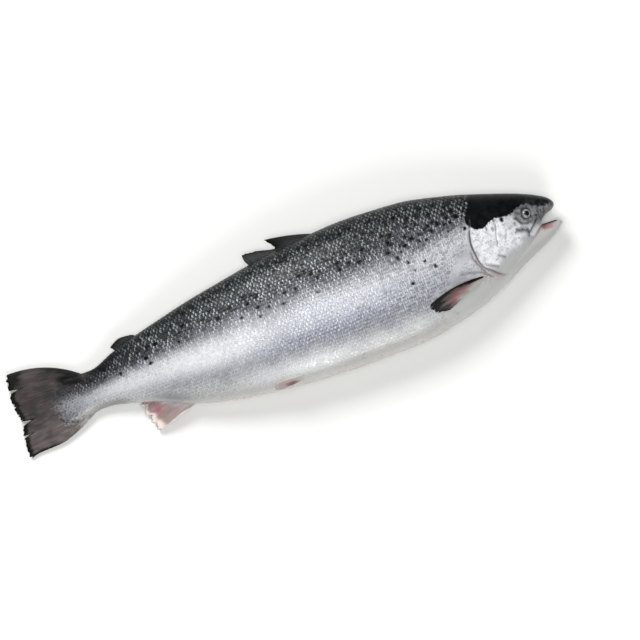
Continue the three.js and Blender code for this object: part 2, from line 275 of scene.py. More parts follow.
def skin_point(x, y, side, rise):
    angle = angle_over(x, y, side)
    return trunk_point(x, angle) + outward(trunk_point, x, angle) * np.asarray(rise)[..., None]


BODY_SOFT = 1.6
SHEET_SOFT = 0.9


def settle(points, soft=BODY_SOFT):
    """The fish's own weight flattens it softly against the surface that it lies on."""
    z = points[..., 2]
    points[..., 2] = 0.5 * (z + np.sqrt(z * z + soft * soft))
    return points


def side_height(x, y):
    """1 on the back's ridge, 0 on the lateral line, -1 on the belly's edge."""
    above = (y - lateral(x)) / np.maximum(back(x) - lateral(x), 1)
    below = (y - lateral(x)) / np.maximum(lateral(x) - belly(x), 1)
    return np.clip(np.where(y > lateral(x), above, below), -1, 1)


def from_line(x, y, points, samples=24):
    """Distance to a smooth line, positive on one side of its run, and the share of the way along it."""
    line = curve_through(points)(np.linspace(0, 1, samples))
    best = np.full(np.shape(x), 1e9)
    share = np.zeros(np.shape(x))
    for k in range(samples - 1):
        (ax, ay), (dx, dy) = line[k], line[k + 1] - line[k]
        t = unit(((x - ax) * dx + (y - ay) * dy) / (dx * dx + dy * dy))
        ox, oy = x - ax - t * dx, y - ay - t * dy
        gap = np.hypot(ox, oy) * np.where(dx * oy - dy * ox >= 0, 1, -1)
        nearer = np.abs(gap) < np.abs(best)
        best = np.where(nearer, gap, best)
        share = np.where(nearer, (k + t) / (samples - 1), share)
    return best, share


# ---- Meshes ----


def mesh_of(bm, mesh):
    """Writes a bmesh into a mesh, or into a new one of that name."""
    if isinstance(mesh, str):
        mesh = bpy.data.meshes.new(mesh)
    bm.to_mesh(mesh)
    bm.free()
    return mesh


def flat_grid(name, columns, rows, half=0.5):
    """A grid in the middle of the unit square, whose own flat map is kept."""
    bm = bmesh.new()
    bm.loops.layers.uv.new(BAKE_MAP)
    bmesh.ops.create_grid(bm, x_segments=columns, y_segments=rows, size=half, calc_uvs=True)
    bmesh.ops.translate(bm, verts=bm.verts, vec=(0.5, 0.5, 0))
    return mesh_of(bm, name)


def read(items, key, width=3, kind=float):
    values = np.empty(len(items) * width, kind)
    items.foreach_get(key, values)
    return values.reshape(-1, width)


def corners_of(mesh):
    return read(mesh.vertices, "co")


def set_down(mesh, points):
    """Moves the vertices to points in millimetres."""
    mesh.vertices.foreach_set("co", (np.asarray(points) * MM).ravel())
    mesh.update()


def mark(mesh, **marks):
    """Numbers on the mesh's points, which its material reads by their names."""
    for name, values in marks.items():
        layer = mesh.attributes.new(name, "FLOAT", "POINT")
        layer.data.foreach_set("value", np.broadcast_to(values, len(mesh.vertices)).astype(np.float32))


def close_up(mesh):
    """Merges seams and poles, and turns the faces outwards."""
    bm = bmesh.new()
    bm.from_mesh(mesh)
    bmesh.ops.remove_doubles(bm, verts=bm.verts, dist=SEAM_GAP)
    bmesh.ops.dissolve_degenerate(bm, edges=bm.edges, dist=SEAM_GAP / 10)
    bmesh.ops.recalc_face_normals(bm, faces=bm.faces)
    mesh_of(bm, mesh)


def face_outwards(mesh, side):
    """Turns the whole sheet over if it faces into the fish."""
    if np.sum(read(mesh.polygons, "normal")[:, 2]) * side < 0:
        mesh.flip_normals()


def show(name, data):
    made = bpy.data.objects.new(name, data)
    bpy.context.scene.collection.objects.link(made)
    return made


def piece(mesh, material, replaces=()):
    for polygon in mesh.polygons:
        polygon.use_smooth = True
    mesh.materials.append(material)
    made = show(mesh.name, mesh)
    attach(made, "root")
    if replaces:
        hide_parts(*replaces)


# ---- Materials ----

FLESH_IOR = 1.4
WATER_IOR = 1.33
PIGMENT = "#040506"
# How many times finer a pattern is along x, y and z; below 1 it is drawn out.
STREAKS = (1.1, 0.9, 1)
ALONG_RAYS = (0.4, 1, 1)
# How far the flank's tones wander up and down, as a share of its height.
WANDER = 0.05
RELIEF_STRENGTH = 0.6
# Skin over the flank, from the belly's edge (0) over the lateral line (0.5) to the ridge (1). The light band
# just below the lateral line and the pale rim at the belly's edge are partly painted highlight.
SKIN_TONES = [
    (0.0, "#d2cdc8"), (0.03, "#c0bfbc"), (0.12, "#c2c3c2"), (0.19, "#aaabae"), (0.25, "#8f9098"),
    (0.31, "#9a9ca4"), (0.38, "#b2b4ba"), (0.45, "#c2c4c9"), (0.5, "#a9abb0"), (0.56, "#7d7f84"),
    (0.64, "#505257"), (0.75, "#32373a"), (0.88, "#242a2a"), (1.0, "#1f2423"),
]
# The silver face of a scale, and the pigment around it, over the same range, with the same partly painted
# highlight band and pale belly rim.
SCALE_FACE = [
    (0.0, "#cdcac6"), (0.05, "#c3c3c1"), (0.16, "#c3c4c7"), (0.22, "#b6b8bf"), (0.29, "#b6b8c2"),
    (0.36, "#d0d2d8"), (0.44, "#dcdde1"), (0.5, "#d6d7db"), (0.58, "#c4c5ca"), (0.66, "#b3b5b9"),
    (0.78, "#9fa2a4"), (0.9, "#8a8e90"), (1.0, "#5c6062"),
]
SCALE_EDGE = [
    (0.0, "#c3c0bb"), (0.07, "#b4b5b4"), (0.16, "#9b9c9f"), (0.22, "#777981"), (0.29, "#71737e"),
    (0.36, "#8c8e97"), (0.44, "#9c9ea4"), (0.5, "#7d7f84"), (0.58, "#47494e"), (0.66, "#25272a"),
    (0.78, "#121617"), (0.9, "#0e1211"),
]


def linear(hex_colour):
    """sRGB hex to linear."""
    parts = [int(hex_colour[i:i + 2], 16) / 255 for i in (1, 3, 5)]
    return (*[p / 12.92 if p <= 0.04045 else ((p + 0.055) / 1.055) ** 2.4 for p in parts], 1)


def add(tree, kind, links=None, stops=None, **settings):
    """A node with its settings. An input takes a value, a hex colour, a mark's name, a node or an output."""
    made = tree.nodes.new(kind)
    for key, value in settings.items():
        setattr(made, key, value)
    for socket, source in (links or {}).items():
        if isinstance(source, str) and not source.startswith("#"):
            source = add(tree, "ShaderNodeAttribute", attribute_name=source).outputs["Fac"]
        if isinstance(source, bpy.types.Node):
            source = source.outputs[0]
        if isinstance(source, bpy.types.NodeSocket):
            tree.links.new(source, made.inputs[socket])
        else:
            made.inputs[socket].default_value = linear(source) if isinstance(source, str) else source
    if stops:
        ramp = made.color_ramp
        while len(ramp.elements) < len(stops):
            ramp.elements.new(1)
        for element, (position, colour) in zip(ramp.elements, sorted(stops)):
            element.position = position
            element.color = linear(colour) if isinstance(colour, str) else (colour, colour, colour, 1)
    return made


def material(name):
    made = bpy.data.materials.new(name)
    made.use_nodes = True
    tree = made.node_tree
    tree.nodes.clear()
    return made, tree


def per_mm(size):
    """Pattern scale, in turns per metre, for a feature that is `size` millimetres across."""
    return 1 / (size * MM)


def wet_surface(tree, colour, roughness, height, depth, film, film_roughness, metallic=0.0, gloss=0.5):
    """Shader under a thin film of water, with relief from `height`, `depth` metres deep."""
    relief = add(tree, "ShaderNodeBump", {"Height": height, "Distance": depth, "Strength": RELIEF_STRENGTH})
    shader = add(tree, "ShaderNodeBsdfPrincipled", {
        "Base Color": colour, "Roughness": roughness, "Metallic": metallic, "Normal": relief,
        "IOR": FLESH_IOR, "Specular IOR Level": gloss,
        "Coat Weight": film, "Coat Roughness": film_roughness, "Coat IOR": WATER_IOR,
    })
    add(tree, "ShaderNodeOutputMaterial", {"Surface": shader})


def layered(tree, colour, *layers):
    """Lays further colours over a base, each by a factor or by a mark on the mesh."""
    for factor, over, *kind in layers:
        colour = add(tree, "ShaderNodeMix", {0: factor, 6: colour, 7: over},
                     data_type="RGBA", blend_type=kind[0] if kind else "MIX").outputs[2]
    return colour


def cloud(tree, size, detail=2.0, low=0.4, high=0.6, squash=(1, 1, 1), to=(0, 1)):
    """Soft blotches `size` millimetres across, between the two values of `to`."""
    place = add(tree, "ShaderNodeMapping", {
        "Vector": add(tree, "ShaderNodeTexCoord").outputs["Object"], "Scale": squash,
    })
    noise = add(tree, "ShaderNodeTexNoise", {
        "Vector": place, "Scale": per_mm(size), "Detail": detail, "Roughness": 0.5,
    })
    return add(tree, "ShaderNodeMapRange", {
        "Value": noise, "From Min": low, "From Max": high, "To Min": to[0], "To Max": to[1],
    })


def ragged(tree, name, size, reach, soft=0.08):
    """A marked zone whose border breaks up into spots `size` millimetres across."""
    shift = cloud(tree, size, detail=4, low=0.3, high=0.7, to=(-reach / 2, reach / 2))
    broken = add(tree, "ShaderNodeMath", {0: name, 1: shift})
    return add(tree, "ShaderNodeMapRange", {"Value": broken, "From Min": 0.5 - soft, "From Max": 0.5 + soft})


def over_flank(tree, tones, silver="#e7e8ea", light="gleam"):
    """A flank's colour by its height on the side, with a softly wandering border, lifted towards silver with
    painted highlight by one mark and darkened, partly as painted shade, by another.
    """
    drift = cloud(tree, 22, low=0.3, high=0.7, to=(0.5 - WANDER / 2, 0.5 + WANDER / 2))
    place = add(tree, "ShaderNodeMath", {0: "side_height", 1: 0.5, 2: drift}, operation="MULTIPLY_ADD")
    colour = add(tree, "ShaderNodeValToRGB", {"Fac": place}, stops=tones)
    # The silver colour carries painted highlight; the near black carries painted shade besides darker zones.
    return layered(tree, colour, (light, silver), ("dusk", "#101114"))


def onto_fin(tree, flank, fin):
    """Flank colour that breaks up into a fin's colour on the tail's root."""
    return layered(tree, flank, (ragged(tree, "fin_root", 2.5, 0.5, 0.3), fin))


def ray_roots(tree):
    """Charcoal skin over the roots of the tail's rays."""
    return layered(tree, "#353132", (cloud(tree, 6, detail=3, low=0.4, high=0.65), "#575152"))


def skin_material():
    """Bare wet skin: guanine silver over grey, matt black on the crown, which reads as pearl and slate, with
    painted shade in its creases and painted highlight along a few lines.
    """
    made, tree = material("wet_fish_skin")
    pearl = layered(tree, "#e6e7ea", (cloud(tree, 7, detail=4, low=0.44, high=0.7), "#b3b4ba"),
                    (cloud(tree, 2.4, detail=5, low=0.56, high=0.7, squash=STREAKS), "#898a91"))
    ash = layered(tree, "#7d7e80", (cloud(tree, 4.5, detail=3, low=0.4, high=0.62), "#4d4f51"))
    crown = layered(tree, PIGMENT, (cloud(tree, 9, detail=4, low=0.45, high=0.7), "#121415"))
    snout = layered(tree, "#090a0b", (cloud(tree, 5, detail=4, low=0.35, high=0.65), "#272b2d"))
    flesh = layered(tree, "#c98f95", (cloud(tree, 5, low=0.35, high=0.65), "#b5707a"))
    mottle = add(tree, "ShaderNodeMath", {
        0: cloud(tree, 2.6, detail=4, low=0.46, high=0.62), 1: "mottle",
    }, operation="MULTIPLY")
    colour = layered(tree, over_flank(tree, SKIN_TONES), ("cheek", pearl), ("ash", ash),
                     (ragged(tree, "crown", 2.2, 0.3), layered(tree, crown, ("snout", snout))))
    # Near black for black marks and for painted shade in the creases, near white for silver lines and painted
    # highlight.
    colour = layered(tree, onto_fin(tree, colour, ray_roots(tree)), ("dull", "#8b8d91"),
                     (mottle, "#85858e"), ("flush", flesh), ("crease", "#0a0a0b"),
                     ("freckle", "#121214"), ("shine", "#f1f1f3"))
    wet_surface(tree, colour, cloud(tree, 6, low=0.3, high=0.7, to=(0.3, 0.46)),
                cloud(tree, 1.6, detail=3, low=0.2, high=0.8), depth=0.00025,
                film=0.08, film_roughness=0.18, metallic=0.1, gloss=0.18)
    return made


def scale_material():
    """Overlapping scales: mirror-like guanine on the face, melanin round it, with painted glints in a
    lattice.
    """
    made, tree = material("salmon_scale")
    # Painted glint: the silver face shows in a crescent just inside the free edge.
    mirror = add(tree, "ShaderNodeValToRGB", {"Fac": "bow"}, stops=[
        (0.36, 0.02), (0.56, 0.14), (0.68, 0.9), (0.76, 1.0), (0.84, 0.5), (0.92, 0.0),
    ])
    # Whole groups of scales are painted as catching more or less of the light.
    grouped = cloud(tree, 7, detail=3, low=0.38, high=0.58, to=(0.78, 1.28))
    for part in (grouped, cloud(tree, 1.4, low=0.38, high=0.55), "glint"):
        mirror = add(tree, "ShaderNodeMath", {0: mirror, 1: part}, operation="MULTIPLY")
    # Over the flank's silver and painted highlight the face shows across the whole scale.
    mirror = add(tree, "ShaderNodeMath", {
        0: cloud(tree, 1.3, low=0.44, high=0.56), 1: "gleam", 2: mirror,
    }, operation="MULTIPLY_ADD", use_clamp=True)
    edge = over_flank(tree, SCALE_EDGE, silver="#d9dade", light="edge_gleam")
    colour = layered(tree, edge, (mirror, over_flank(tree, SCALE_FACE)))
    colour = layered(tree, onto_fin(tree, colour, ray_roots(tree)), ("dull", "#8b8d91"), ("spot", PIGMENT))
    roughness = add(tree, "ShaderNodeMapRange", {"Value": "tone", "To Min": 0.26, "To Max": 0.42})
    wet_surface(tree, colour, roughness, cloud(tree, 0.9, low=0.2, high=0.8), depth=0.00005,
                film=0.06, film_roughness=0.15, metallic=0.25, gloss=0.22)
    return made


def fin_material(name, tones, *smudges):
    """Fin membrane over bony rays: wet, thin and matt, which shows as fine ribs of light and dark."""
    made, tree = material(name + "_fin_membrane")
    shift = cloud(tree, 5, detail=3, low=0.3, high=0.7, squash=ALONG_RAYS, to=(-0.1, 0.1))
    place = add(tree, "ShaderNodeMath", {0: "tint", 1: shift})
    colour = add(tree, "ShaderNodeValToRGB", {"Fac": place}, stops=tones)
    rib = add(tree, "ShaderNodeMapRange", {"Value": "streak", "To Min": 0.78, "To Max": 1.2})
    colour = layered(tree, colour, (1.0, rib, "MULTIPLY"), ("flush", "#a8566a"))
    colour = onto_fin(tree, over_flank(tree, SKIN_TONES), colour)
    for share, smudge in smudges:
        amount = cloud(tree, 9, detail=4, low=0.4, high=0.66, squash=ALONG_RAYS, to=(0, share))
        colour = layered(tree, colour, (amount, smudge, "DARKEN"))
    colour = layered(tree, colour, ("blot", "#030304"))
    wet_surface(tree, colour, 0.5, "rib", depth=0.00012, film=0.08, film_roughness=0.3, gloss=0.2)
    return made


def eye_material():
    """Clear wet eye: black pupil, silver iris and a dark rim under a glossy cornea."""
    made, tree = material("fish_eye")
    ring = add(tree, "ShaderNodeValToRGB", {"Fac": "from_axis"}, stops=[
        (0.0, "#030304"), (0.44, "#040405"), (0.48, "#2b2c2d"), (0.53, "#a4a5a4"), (0.6, "#a3a4a3"),
        (0.7, "#848585"), (0.82, "#7b7d7d"), (0.92, "#4a4b4c"), (1.0, "#1b1b1c"),
    ])
    veins = cloud(tree, 1.8, detail=3, low=0.45, high=0.7)
    colour = layered(tree, ring, (veins, "#6b6c6c", "MULTIPLY"))
    wet_surface(tree, colour, 0.22, cloud(tree, 1.2), depth=0.00005, film=0.5, film_roughness=0.05)
    return made


# ---- Black spots ----

# The boldest of the black spots: x, y and half their width.
BIG_SPOTS = [
    (141, 25, 1.8), (190, -9, 1.6), (160, 6, 1.5), (174, 31, 1.9), (157, -20, 1.5), (180, 0.5, 1.3),
    (-40, 35, 2.0), (-174, 0, 1.4), (105, 26.5, 1.8), (164, 26, 1.7), (210, 37.5, 1.7), (-25, 32, 2.0),
    (-122, 29, 2.0), (31, 36, 1.9), (234, 38, 1.8), (-78, 22, 1.7), (80, 34, 1.8), (217, 34, 1.5),
    (113, 40, 1.7), (39, 38, 1.7), (80, 27, 1.6), (93, 30, 1.6), (151, 44, 1.8), (158, 28, 1.4),
    (146, 35, 1.6), (165, -6, 1.0), (225, 34, 1.4), (-60, 30, 1.7), (167, 36, 1.6), (-172, 20, 1.8),
    (72, 52, 1.5), (173, 47, 1.4), (198, 39, 1.4), (-51, 13, 1.3), (182, 25, 1.3), (239, 21, 1.3),
    (-161, 20, 1.6), (-85, 34, 1.5), (81, 47, 1.4),
]
SMALL_SPOTS = 105
SPOT_GAP = 6.5


def spots_over(x, y, spots):
    """Black pigment in small crossed blots, as the upper flank carries them."""
    amount = np.zeros(len(x))
    for spot_x, spot_y, size, turn in spots:
        near = np.flatnonzero((np.abs(x - spot_x) < 3 * size) & (np.abs(y - spot_y) < 3 * size))
        dx, dy = x[near] - spot_x, y[near] - spot_y
        along = dx * math.cos(turn) + dy * math.sin(turn)
        across = dy * math.cos(turn) - dx * math.sin(turn)
        lobes = np.minimum(np.hypot(along / 1.4, across * 1.25), np.hypot(along * 1.25, across / 1.3))
        amount[near] = np.maximum(amount[near], smooth(size * 1.7, size * 1.1, lobes))
    return amount


def black_spots(seed):
    """Spots (x, y, size, turn), which thin out towards the tail and below the lateral line."""
    rng = np.random.default_rng(seed)
    found = [(*spot, rng.uniform(0, np.pi)) for spot in BIG_SPOTS]
    while len(found) < len(BIG_SPOTS) + SMALL_SPOTS:
        x = rng.uniform(-235, 246)
        height = rng.uniform(0.05, 0.97)
        keep = mix(0.15, 1.0, smooth(-120, 190, x)) * mix(0.1, 1.0, smooth(0.05, 0.35, height))
        y = float(lateral(x) + height * (back(x) - lateral(x)))
        apart = all(math.hypot(x - spot[0], y - spot[1]) > SPOT_GAP for spot in found)
        if apart and rng.uniform() < keep:
            found.append((x, y, rng.uniform(0.9, 1.6), rng.uniform(0, np.pi)))
    return found


SPOTS = {side: black_spots(seed) for side, seed in SEEDS.items()}

# ---- Skin ----

crown_edge = profile([
    (236, 30), (246, 19.5), (252, 14.5), (258, 13), (263, 14), (269, 17.5), (276.5, 19.5), (285, 18.5),
    (293, 17), (299, 18), (304.5, 21), (312, 23), (319, 23), (325, 19.5), (332.5, 15.5), (340, 14),
    (347, 14.5), (353, 15.5),
])
cheek_edge = profile([
    (236, -32), (250, -33), (266, -29), (278, -23), (295, -20), (306, -12), (318, -6), (345, 0),
])
PREOPERCLE = [(276.5, 14), (273.5, 5), (271, -3), (270.5, -9), (268, -14)]
CHEEK_BONE = [(286, 3.5), (284, -4), (280, -13)]
MAXILLA_LINE = [(327.5, 3.5), (326, 1.3), (319, -5.4), (311.7, -12), (310, -16)]
MAXILLA_BODY = [(331.5, -1), (330.5, -4), (321.5, -10), (313, -16)]
UNDER_EYE = [(301, 13), (303, 8), (305.5, 4), (311, 1), (316, 0.6)]
JUGAL_LINE = [(296, -2), (301, -4.5), (306, -5.5), (310, -8), (313, -12)]
THROAT_FOLDS = [
    [(247, -29), (252, -31.5), (258, -34.5), (263, -37)],
    [(266, -24), (271, -27), (275, -29.5)],
]
FLANK_FOLDS = [
    [(214, -31), (224, -31.5), (239, -36), (247, -43)],
    [(236, -7), (236.5, -19), (241.5, -30), (247, -41), (254, -48)],
]
# The soft skin behind the gill opening blushes, and the cover's lower edge has a painted highlight.
GILL_BLUSH = [(240.5, -8), (241.5, -20), (247, -33), (255, -43), (266, -53)]
COVER_GLEAM = [(249, -25.5), (255, -28), (260, -31), (264.5, -33.5)]
# Lines with how far they stand proud, or how strong their colour is, and half their width.
RELIEFS = [
    (PREOPERCLE, -0.7, 1.1), (CHEEK_BONE, -0.5, 1.3), (MAXILLA_BODY, 1.3, 2.6), (MAXILLA_LINE, -1.1, 1.2),
    *((fold, -0.6, 1.3) for fold in THROAT_FOLDS), *((fold, -0.9, 1.8) for fold in FLANK_FOLDS),
]
# The darkening along the bone grooves and folds is painted shade; the lines under the eye are dark marks.
CREASES = [
    (PREOPERCLE, 0.7, 0.6), (CHEEK_BONE, 0.3, 1.0), (MAXILLA_LINE, 0.7, 1.3), (UNDER_EYE, 0.75, 1.8),
    (JUGAL_LINE, 0.8, 3.4),
    *((fold, 0.5, 1.4) for fold in THROAT_FOLDS), *((fold, 0.5, 1.2) for fold in FLANK_FOLDS),
]
# The upper jaw bone's own silver, and a painted highlight along the cover's lower edge.
GLEAMS = [(MAXILLA_BODY, 0.55, 2.3), (COVER_GLEAM, 0.85, 1.7)]
BLUSHES = [(GILL_BLUSH, 0.2, 5)]
# Marks on the gill cover and face: x, y, radius and how dark they are.
FRECKLES = [
    (284.6, 15.5, 2.4, 1.0), (275, 18, 1.7, 0.7), (298, 5, 1.7, 0.6), (270, 8.5, 1.8, 0.5),
    (305, 3.5, 1.2, 0.6), (263, 11.5, 1.1, 0.6), (299, 11, 1.2, 0.4), (256, 2, 1.2, 0.4),
    (290, 2, 1.4, 0.35), (295, -5, 1.3, 0.35), (311, -6, 1.6, 0.5), (326.5, 6, 1.5, 0.8),
    (338, 10.5, 1.2, 0.7), (304, -1, 1.2, 0.35),
]
NOSTRILS = [(334.5, 9.9, 1.2), (331, 9, 1.0)]
NOSTRIL_DEPTH = 1.6
COVER_RISE = 0.9
GILL_DEPTH = 1.9
LID_RADIUS = 8.4
LID_RISE = 0.6
SOCKET_DEPTH = 4.5
TAIL_LOBE = [
    (-262, 17), (-276, 12), (-289, 11), (-297, 9), (-301, 4), (-302, -4), (-301.5, -18), (-297, -30),
    (-288, -37), (-278, -42), (-262, -45),
]
# Behind the gill cover the skin is bare in front of this line.
BARE_Y = [-46, -36, -28, -16, -4]
BARE_FROM_X = [205, 213, 218, 228, 243]

STEM_END_X = -240.0
FIN_SIDE_FROM_X = -230.0
HEAD_RELIEF_FROM_X = 200.0
GILL_ZONE_FROM_X = 225.0
THROAT_TONE = -0.86

SKIN_COLUMNS = 380
SKIN_ROWS = 216


def skin_columns(u):
    """Columns stand closer together in the head, where the detail is."""
    body_share = 0.55
    head_x = 234.0
    return np.where(u < body_share, mix(LOBE_END_X, head_x, u / body_share),
                    mix(head_x, SNOUT_X, (u - body_share) / (1 - body_share)))


def soft_lines(x, y, lines):
    """How strong each of several soft lines is at each point."""
    found = []
    for line, strength, width in lines:
        gap, share = from_line(x, y, line)
        found.append(strength * bell(gap, width) * smooth(0, 0.08, share) * smooth(1, 0.9, share))
    return found


def from_gill(x, y):
    """Millimetres in front of the gill slit, and the share of the way down it."""
    return from_line(x, y, GILL_LINE, 40)


def past_bare_border(x, y):
    return x - np.interp(y, BARE_Y, BARE_FROM_X)


def unevenness(x, y, angle):
    """Soft flesh is never quite even: it has shallow swells and dents a few centimetres across."""
    swell = np.sin(x / 23 + 2 * np.sin(angle)) * np.sin(y / 17 + x / 61)
    return 0.35 * swell * smooth(300, 200, x)


def nostril_holes(x, y):
    return [bell(np.hypot(x - at_x, y - at_y), radius) for at_x, at_y, radius in NOSTRILS]


def head_relief(x, y):
    """How far the head's skin stands proud of the plain section, in millimetres."""
    gap, share = from_gill(x, y)
    cover = np.where(gap > 0, COVER_RISE * np.exp(-gap / 9), -GILL_DEPTH * np.exp(gap / 5))
    from_eye = np.hypot(x - EYE_X, y - EYE_Y)
    socket = LID_RISE * bell(from_eye - LID_RADIUS, 1.5) - SOCKET_DEPTH * smooth(6.5, 5.7, from_eye)
    nostrils = NOSTRIL_DEPTH * sum(nostril_holes(x, y))
    slit_ends = smooth(0.06, 0.2, share) * smooth(1, 0.8, share)
    return cover * slit_ends + sum(soft_lines(x, y, RELIEFS)) + socket - nostrils


def head_creases(x, y):
    """Dark lines of the head: painted shade in the gill slit, the bone grooves, the folds and the nostrils
    and round the eyelid, strongest above it, and dark marks under the eye.
    """
    gap, share = from_gill(x, y)
    slit_ends = smooth(0, 0.1, share) * smooth(1, 0.75, share)
    upper_slit = smooth(-25, 0, y)
    slit_width = mix(0.8, 1.15, upper_slit) + 0.7 * smooth(-36, -46, y)
    slit = np.maximum(mix(0.75, 0.95, upper_slit) * bell(gap + 0.3, slit_width), 0.35 * bell(gap + 0.6, 1.9))
    eyelid = mix(0.1, 0.75, smooth(0, 6, y - EYE_Y)) * bell(np.hypot(x - EYE_X, y - EYE_Y) - 6.8, 1.1)
    lines = nostril_holes(x, y) + soft_lines(x, y, CREASES)
    return np.maximum.reduce([slit * slit_ends, eyelid, *lines])


def freckles(x, y):
    found = np.zeros(len(x))
    for spot_x, spot_y, radius, dark in FRECKLES:
        shape = np.hypot(x - spot_x, 0.7 * (y - spot_y)) + 0.25 * np.sin(3 * x + 2 * y)
        found = np.maximum(found, dark * smooth(radius * 1.35, radius * 0.6, shape))
    return found


def fin_side_of_tail(x, y):
    """0 on the silver stem and 1 on the fin, with a mottled border between them."""
    near = x < STEM_END_X
    gap, _ = from_line(x[near], y[near], TAIL_LOBE, 60)
    wander = 2.2 * np.sin(y[near] / 1.7 + 0.25 * x[near]) + 1.2 * np.sin(y[near] / 0.8)
    found = np.zeros(len(x))
    found[near] = unit(0.62 + (wander - gap) / 34)
    return found


def tail_blot(x, y):
    """A black blot along the upper root of the tail."""
    return 0.99 * smooth(1.25, 0.6, np.hypot((x + 276) / 17, (y - 15.5 + 0.28 * (x + 276)) / 7))


def mark_light(mesh, x, y):
    """Where the flank is lifted towards silver, partly the guanine's own and partly painted highlight, and
    where the skin is darker, partly as painted shade, or duller.
    """
    height = side_height(x, y)
    to_stem = smooth(-140, -205, x)
    rear = bell(height + mix(0.27, 0.36, to_stem), mix(0.27, 0.32, to_stem)) * mix(0.5, 0.72, to_stem)
    rear = rear * smooth(20, -90, x) * smooth(-300, -215, x)
    # Painted highlight along the lower belly.
    under_belly = 0.3 * bell(height + 0.76, 0.13) * smooth(-100, -40, x) * smooth(60, 0, x)
    behind_gill = bell(x - 236, 20) * bell(y + 22 + 0.2 * (x - 236), 14)
    brightest = 0.5 * bell(x + 115, 48) * bell(height + 0.2, 0.19)
    forward = 0.2 * bell(height + 0.42, 0.15) * smooth(90, 140, x) * smooth(240, 215, x)
    shoulder = 0.34 * bell(height + 0.13, 0.19) * smooth(140, 215, x)
    gleam = rear + brightest + under_belly + 0.5 * behind_gill + forward + shoulder
    # The pigment round the scales stays darker on the shoulder, taking less of the silver and painted
    # highlight, and fades towards the bare skin.
    at_bare = smooth(-26, -4, past_bare_border(x, y)) * smooth(4, -8, y) * smooth(-58, -46, y)
    held_back = (forward + 0.6 * shoulder + 0.3 * behind_gill) * (1 - at_bare)
    # Darker zones: the back before the tail and the stem towards the tail, faintly low on the head's front,
    # and painted shade under the front belly and along the stem's lower rim.
    dusk = np.maximum.reduce([
        0.42 * smooth(-195, -290, x) * smooth(-0.7, -0.1, height),
        0.1 * smooth(285, 305, x) * smooth(-8, -22, y),
        0.85 * smooth(0.35, 0.85, height) * smooth(-185, -240, x) * smooth(-312, -285, x),
        0.12 * smooth(20, 80, x) * bell(height + 0.72, 0.16),
        0.4 * smooth(-0.62, -0.85, height) * smooth(-205, -226, x) * smooth(-305, -285, x),
    ])
    over_vent = 0.85 * bell(x + 164, 24) * bell(y - belly(x) - 8, 8)
    behind_cover = 0.5 * bell(x - 224, 10) * bell(y + 7, 8)
    mark(mesh, gleam=unit(gleam), dusk=dusk, dull=np.maximum(over_vent, behind_cover),
         edge_gleam=unit(gleam - held_back + 0.35 * at_bare))


def toned_height(x, y):
    """Height on the side that sets the colour; the stem pales a little where it ends in the tail."""
    height = side_height(x, y)
    at_stem = 0.12 * smooth(-262, -288, x) * smooth(-0.2, 0.1, height) * smooth(0.75, 0.5, height)
    behind_head = 0.12 * smooth(90, 190, x) * smooth(0.1, 0.4, height) * smooth(0.98, 0.75, height)
    low_shoulder = 0.08 * bell(x - 125, 45) * bell(height - 0.3, 0.11)
    low_shoulder = low_shoulder + 0.035 * smooth(140, 180, x) * bell(height - 0.12, 0.1)
    rear = smooth(60, 10, x) * smooth(-205, -140, x) * smooth(0, 0.2, height) * smooth(0.8, 0.6, height)
    # The throat keeps the tone of the lower jaw.
    plain_rim = np.maximum(smooth(120, 200, x), smooth(-180, -210, x))
    return np.maximum(height - at_stem - behind_head - 0.07 * rear + low_shoulder,
                      mix(-1.1, THROAT_TONE, plain_rim))


def fish_skin(material):
    mesh = flat_grid("fish_skin", SKIN_COLUMNS, SKIN_ROWS)
    u, v, _ = corners_of(mesh).T
    x = skin_columns(u)
    angle = 2 * np.pi * v
    base = trunk_point(x, angle)
    y = base[:, 1]
    rise = head_relief(x, y) * np.abs(np.sin(angle)) ** 0.5 + unevenness(x, y, angle)
    rise = rise * np.minimum(smooth(0, 0.01, u), smooth(1, 0.985, u))
    set_down(mesh, settle(base + outward(trunk_point, x, angle) * rise[:, None]))
    gap, _ = from_gill(x, y)
    crown = unit(0.5 + (y - crown_edge(x)) / mix(7, 12, smooth(285, 310, x)))
    cheek = smooth(-0.5, 1.5, gap) * smooth(236, 240, x) * smooth(-9, 6, y - cheek_edge(x))
    ash = smooth(292, 305, x) * smooth(-9, 3, y + 0.55 * (x - 318))
    temple = 0.27 * smooth(279, 290, x) * smooth(-5, 10, y)
    bare = smooth(-12, 0, past_bare_border(x, y)) * smooth(0, -2, gap)
    spots = np.where(np.sin(angle) >= 0, spots_over(x, y, SPOTS[RIGHT]), spots_over(x, y, SPOTS[LEFT]))
    mark_light(mesh, x, y)
    mark(
        mesh, side_height=toned_height(x, y), crown=crown * smooth(236, 248, x), snout=smooth(306, 330, x),
        ash=np.maximum(ash, temple), cheek=cheek * smooth(352, 330, x), fin_root=fin_side_of_tail(x, y),
        # Pigment spots and the tail's blot, and the head's lines, mostly painted shade.
        crease=np.maximum.reduce([head_creases(x, y), tail_blot(x, y), spots * smooth(262, 256, x)]),
        # Painted highlight along the cover's lower edge, and the upper jaw bone's silver.
        freckle=freckles(x, y), shine=np.maximum.reduce(soft_lines(x, y, GLEAMS)),
        flush=sum(soft_lines(x, y, BLUSHES)) * smooth(1, -0.5, gap),
        mottle=0.6 * bare * smooth(-56, -42, y) * smooth(24, 14, y),
    )
    close_up(mesh)
    piece(mesh, material, ["salmon"])


# ---- Lower jaw ----

JAW_COLUMNS = 150
JAW_ROWS = 110


